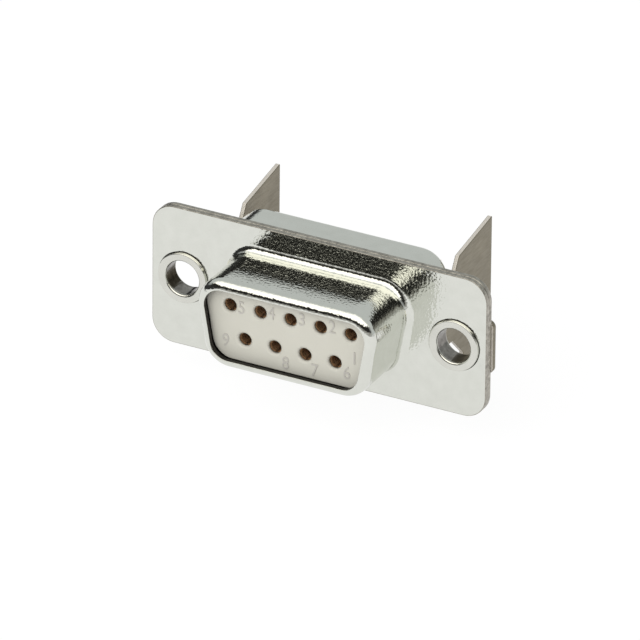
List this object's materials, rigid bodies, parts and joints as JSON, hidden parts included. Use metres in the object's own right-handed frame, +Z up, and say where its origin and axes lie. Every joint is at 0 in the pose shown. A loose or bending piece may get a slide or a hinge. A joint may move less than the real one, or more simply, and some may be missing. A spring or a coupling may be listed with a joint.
{
  "type": "d-sub connector",
  "caption": "Right-angle D-shaped socket connector: steel shells with a screw flange, a pale insulator with sleeve contacts and bent solder tails, and two folded brackets with board legs.",
  "frame": {"origin": "midway between the two screw holes, on the front face of the flange", "axes": "+X along the contact rows to the right as seen from the mating side, +Y back from the mating side, +Z up towards the long row"},
  "size_m": [0.0312, 0.0176, 0.0158],
  "materials": {
    "plated_steel": "bright tin plate over drawn steel, satin on the flange",
    "pale_plastic": "matt, glass-filled moulding",
    "contact_copper": "copper alloy, thinly plated",
    "bracket_steel": "dull plated steel strip",
    "eyelet_metal": "nickel-plated, rolled over"
  },
  "bodies": {
    "root": {"front_shell": "plated_steel", "rear_shell": "plated_steel", "front_insulator": "pale_plastic", "rear_insulator": "pale_plastic", "contact_1": "contact_copper", "contact_2": "contact_copper", "contact_3": "contact_copper", "contact_4": "contact_copper", "contact_5": "contact_copper", "contact_6": "contact_copper", "contact_7": "contact_copper", "contact_8": "contact_copper", "contact_9": "contact_copper", "left_bracket": "bracket_steel", "right_bracket": "bracket_steel", "left_eyelet": "eyelet_metal", "right_eyelet": "eyelet_metal"}
  },
  "joints": []
}
